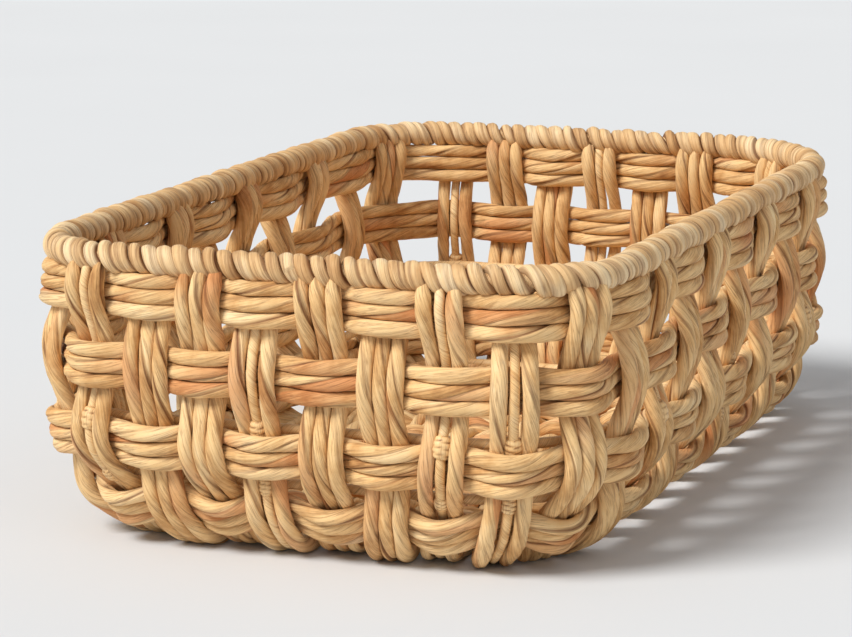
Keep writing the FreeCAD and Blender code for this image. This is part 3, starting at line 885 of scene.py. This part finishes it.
class Nodes:
    """Short calls for building a node tree."""

    def __init__(self, material):
        self.tree = material.node_tree
        self.tree.nodes.clear()

    def add(self, kind, inputs=None, **settings):
        node = self.tree.nodes.new(kind)
        for name, value in settings.items():
            setattr(node, name, value)
        for name, value in (inputs or {}).items():
            if isinstance(value, bpy.types.NodeSocket):
                self.tree.links.new(value, node.inputs[name])
            else:
                node.inputs[name].default_value = value
        return node

    def noise(self, place, scale, detail, roughness=0.5):
        inputs = {"Vector": place, "Scale": scale, "Detail": detail, "Roughness": roughness}
        return self.add("ShaderNodeTexNoise", inputs).outputs["Fac"]

    def math(self, operation, first, second=0.0, clamp=False):
        node = self.add("ShaderNodeMath", {0: first, 1: second}, operation=operation, use_clamp=clamp)
        return node.outputs[0]

    def mix(self, share, first, second, blend_type="MIX"):
        node = self.add("ShaderNodeMix", data_type="RGBA", blend_type=blend_type)
        sockets = (node.inputs[0], node.inputs[6], node.inputs[7])
        for socket, value in zip(sockets, (share, first, second)):
            if isinstance(value, bpy.types.NodeSocket):
                self.tree.links.new(value, socket)
            else:
                socket.default_value = value
        return node.outputs[2]

    def ramp(self, factor, stops):
        node = self.add("ShaderNodeValToRGB", {"Fac": factor})
        ramp = node.color_ramp
        while len(ramp.elements) < len(stops):
            ramp.elements.new(0.5)
        for element, (place, colour) in zip(ramp.elements, stops):
            element.position = place
            element.color = colour
        return node.outputs[0]


def new_material(name):
    material = bpy.data.materials.new(name)
    material.use_nodes = True
    return material, Nodes(material)


def leaf_material(name, stops, blush, rough, streak_scale, bump):
    """Dried leaf fibre: streaks along the strips, patches of tone, and painted shade in creases and
    where cords touch.
    """
    material, nodes = new_material(name)
    fibre = nodes.add("ShaderNodeAttribute", attribute_name="fibre").outputs["Vector"]
    look = nodes.add("ShaderNodeAttribute", attribute_name="look")
    parts = nodes.add("ShaderNodeSeparateColor", {"Color": look.outputs["Color"]})
    # Red is tone, green is painted shade in creases, grooves and contacts, blue is warmth.
    tone, crease, warm = (parts.outputs[channel] for channel in ("Red", "Green", "Blue"))
    stretched = nodes.add(
        "ShaderNodeMapping", {"Vector": fibre, "Scale": (streak_scale, streak_scale, 0.035)}
    ).outputs[0]
    streaks = nodes.noise(stretched, 1.0, 4.0, 0.65)
    patches = nodes.noise(fibre, 0.09, 3.0, 0.6)
    specks = nodes.noise(fibre, 0.9, 2.0, 0.7)
    level = nodes.math("MULTIPLY", nodes.math("SUBTRACT", streaks, 0.5), 0.6)
    level = nodes.math("ADD", level, tone)
    level = nodes.math("ADD", level, nodes.math("MULTIPLY", nodes.math("SUBTRACT", patches, 0.5), 0.7))
    colour = nodes.ramp(level, stops)
    warmth = nodes.math("MULTIPLY", nodes.math("SUBTRACT", warm, 0.7), 3.4, clamp=True)
    colour = nodes.mix(nodes.math("MULTIPLY", warmth, 0.8), colour, blush, "MULTIPLY")
    # The shade channel becomes painted shade, multiplied into the colour as deep brown.
    painted_shade = nodes.math("MULTIPLY", crease, 0.85)
    colour = nodes.mix(painted_shade, colour, srgb(120, 64, 32), "MULTIPLY")
    combed = nodes.add("ShaderNodeMapping", {"Vector": fibre, "Scale": (0.62, 0.62, 0.03)}).outputs[0]
    comb = nodes.noise(combed, 1.0, 3.0, 0.55)
    off_line = nodes.math("ABSOLUTE", nodes.math("SUBTRACT", comb, 0.5))
    line = nodes.math("SUBTRACT", 1.0, nodes.math("MULTIPLY", off_line, 26.0), clamp=True)
    line = nodes.math("MULTIPLY", line, nodes.math("MULTIPLY", patches, 1.3))
    colour = nodes.mix(nodes.math("MULTIPLY", line, 0.6), colour, srgb(140, 82, 46), "MULTIPLY")
    speck = nodes.math("MULTIPLY", nodes.math("SUBTRACT", specks, 0.62), 3.0, clamp=True)
    colour = nodes.mix(nodes.math("MULTIPLY", speck, 0.35), colour, srgb(150, 96, 58), "MULTIPLY")
    height = nodes.math("ADD", streaks, nodes.math("MULTIPLY", specks, 0.35))
    height = nodes.math("SUBTRACT", height, nodes.math("MULTIPLY", line, 0.6))
    bumped = nodes.add("ShaderNodeBump", {"Height": height, "Strength": bump, "Distance": 0.0006})
    roughness = nodes.add(
        "ShaderNodeMapRange", {"Value": streaks, "To Min": rough - 0.08, "To Max": rough + 0.12}
    ).outputs[0]
    shader = nodes.add(
        "ShaderNodeBsdfPrincipled",
        {
            "Base Color": colour,
            "Roughness": roughness,
            "Normal": bumped.outputs[0],
            "Specular IOR Level": 0.25,
        },
    )
    nodes.add("ShaderNodeOutputMaterial", {"Surface": shader.outputs[0]})
    return material


CORD_STOPS = (
    (0.0, srgb(146, 92, 48)),
    (0.26, srgb(209, 159, 101)),
    (0.5, srgb(238, 197, 139)),
    (0.76, srgb(246, 211, 157)),
    (1.0, srgb(248, 224, 178)),
)
RIM_STOPS = (
    (0.0, srgb(160, 108, 64)),
    (0.3, srgb(204, 158, 106)),
    (0.6, srgb(230, 192, 140)),
    (1.0, srgb(250, 226, 184)),
)
BLUSH = srgb(222, 172, 148)

cord_material = leaf_material("hyacinth_cord", CORD_STOPS, BLUSH, 0.64, 1.1, 0.75)
rim_material = leaf_material("rim_cord", RIM_STOPS, BLUSH, 0.58, 0.9, 0.6)
wrap_material = leaf_material("leaf_strip_wrap", CORD_STOPS, BLUSH, 0.42, 0.8, 0.25)


def steel_material():
    """Drawn steel wire with faint draw marks and a little tarnish."""
    material, nodes = new_material("steel_wire")
    place = nodes.add("ShaderNodeTexCoord").outputs["Object"]
    marks = nodes.noise(place, 900.0, 3.0)
    tarnish = nodes.noise(place, 60.0, 4.0)
    colour = nodes.ramp(tarnish, ((0.3, srgb(96, 92, 88)), (0.7, srgb(158, 156, 152))))
    rough = nodes.add("ShaderNodeMapRange", {"Value": marks, "To Min": 0.3, "To Max": 0.55}).outputs[0]
    bumped = nodes.add("ShaderNodeBump", {"Height": marks, "Strength": 0.15, "Distance": 0.0002})
    shader = nodes.add(
        "ShaderNodeBsdfPrincipled",
        {"Base Color": colour, "Roughness": rough, "Normal": bumped.outputs[0], "Metallic": 1.0},
    )
    nodes.add("ShaderNodeOutputMaterial", {"Surface": shader.outputs[0]})
    return material


wire_material = steel_material()

# ---- pieces -----------------------------------------------------------------------------------


def add_piece(surface, node, material):
    piece = surface.to_object(f"{node}_fibre", material)
    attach(piece, "root")
    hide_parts(node)


woven, rods, lashings = {}, {}, {"upper_hoop": Surface(), "lower_hoop": Surface()}
for index, cord in enumerate(cords):
    surface = woven.setdefault(cord.piece, Surface())
    if not cord.rib:
        twisted_cord(surface, cord, index)
        continue
    count = len(cord.nodes)
    at = np.linspace(0, count - 1 - 1e-6, int(count * NODE_STEP / 1.5))
    centres, outs = spline(cord.nodes, at, False), spline(cord.outs, at, False)
    wrapped_tube(surface, centres, outs, RIB_RADIUS, cord.seed, False)
    rod = rods.setdefault(cord.piece.replace("_wrap", "_wire"), Surface())
    bare_rod(rod, centres[1:-1], outs[1:-1], RIB_WIRE_RADIUS)
    for hoop, reach, bulge in (("upper_hoop", 4, 2.2), ("lower_hoop", 3, 1.2)):
        level = sum(corner[2] for corner in box_mm(f"{hoop}_wrap")) / 2
        third = len(centres) // 3
        for end in (range(third), range(len(centres) - third, len(centres))):
            middle = min(end, key=lambda row: abs(centres[row, 2] - level))
            rows = np.linspace(middle - reach, middle + reach, 15)
            track = spline(centres, rows, False)
            lashing(lashings[hoop], track, spline(outs, rows, False), bulge, cord.seed + middle)
for node, surface in woven.items():
    if node.endswith("rib_wrap"):
        add_piece(surface, node, wrap_material)
    else:
        add_piece(surface, node, cord_material)
for node, surface in rods.items():
    add_piece(surface, node, wire_material)
for hoop, surface in lashings.items():
    add_piece(surface, f"{hoop}_lashings", wrap_material)

surface = Surface()
rim_radii = {quadrant: plan(0.0, quadrant)[2] for quadrant in CORNER_RADII}
points, outs, _ = ring_line(HALF_WIDTH, HALF_LENGTH, rim_radii, RIM_LEVEL, 2.0)
wrapped_tube(surface, points, outs, RIM_CORE_RADIUS, 499, True)
rim_winding(surface)
add_piece(surface, "rim_wrap", rim_material)

for place, name in enumerate(("upper_hoop", "lower_hoop", "base_ring")):
    points, outs, total, radius = hoop_line(name, 1.5)
    surface = Surface()
    wrapped_tube(surface, points, outs, radius, 500 + place, True)
    add_piece(surface, f"{name}_wrap", wrap_material)

for node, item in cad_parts.items():
    if node.endswith("_wire") and node not in rods:
        item.data.materials.clear()
        item.data.materials.append(wire_material)

# ---- stage, light and camera ------------------------------------------------------------------

WORLD_COLOUR, WORLD_STRENGTH = (0.97, 0.985, 1.0, 1), 0.42
KEY_WAY, FILL_WAY = (0.5, 0.72, -0.95), (-0.7, 0.55, -0.35)

def floor_material():
    """Matt pale studio floor."""
    material, nodes = new_material("studio_floor")
    place = nodes.add("ShaderNodeTexCoord").outputs["Object"]
    grain = nodes.noise(place, 3.0, 2.0)
    colour = nodes.ramp(grain, ((0.0, (0.675, 0.69, 0.71, 1)), (1.0, (0.7, 0.715, 0.735, 1))))
    shader = nodes.add(
        "ShaderNodeBsdfPrincipled", {"Base Color": colour, "Roughness": 0.9, "Specular IOR Level": 0.1}
    )
    nodes.add("ShaderNodeOutputMaterial", {"Surface": shader.outputs[0]})
    return material


def add_floor():
    reach = 30.0
    mesh = bpy.data.meshes.new("studio_floor")
    corners = [(-reach, -reach, 0), (reach, -reach, 0), (reach, reach, 0), (-reach, reach, 0)]
    mesh.from_pydata(corners, [], [(0, 1, 2, 3)])
    mesh.materials.append(floor_material())
    floor = bpy.data.objects.new("studio_floor", mesh)
    bpy.context.scene.collection.objects.link(floor)


def add_light(name, kind, toward, **settings):
    data = bpy.data.lights.new(name, kind)
    for key, value in settings.items():
        setattr(data, key, value)
    light = bpy.data.objects.new(name, data)
    light.rotation_euler = Vector(toward).to_track_quat("-Z", "Y").to_euler()
    bpy.context.scene.collection.objects.link(light)
    return light


add_floor()
scene = bpy.context.scene
scene.view_settings.view_transform = "Standard"
world = bpy.data.worlds.new("studio")
world.use_nodes = True
world.node_tree.nodes["Background"].inputs[0].default_value = WORLD_COLOUR
world.node_tree.nodes["Background"].inputs[1].default_value = WORLD_STRENGTH
scene.world = world
add_light("key", "SUN", KEY_WAY, energy=3.2, angle=math.radians(26), color=(1.0, 0.985, 0.955))
add_light("fill", "SUN", FILL_WAY, energy=0.2, angle=math.radians(70), color=(1.0, 0.9, 0.8))

SENSOR_WIDTH = 36
FOCAL_PIXELS, IMAGE_WIDTH = 3500, 852
FOCAL = FOCAL_PIXELS / IMAGE_WIDTH * SENSOR_WIDTH
YAW, PITCH = math.radians(-20.451), math.radians(10.364)
CAMERA_PLACE = (693.3, -1935.7, 302.8)
camera_data = bpy.data.cameras.new("camera")
camera_data.lens = FOCAL
camera_data.sensor_width = SENSOR_WIDTH
camera_data.clip_start, camera_data.clip_end = 0.05, 100
camera = bpy.data.objects.new("camera", camera_data)
x, y, above_rim = CAMERA_PLACE
camera.location = (x * MM, y * MM, (RIM_LEVEL + above_rim) * MM)
forward = Vector((math.sin(YAW) * math.cos(PITCH), math.cos(YAW) * math.cos(PITCH), -math.sin(PITCH)))
camera.rotation_euler = forward.to_track_quat("-Z", "Y").to_euler()
scene.collection.objects.link(camera)
scene.camera = camera
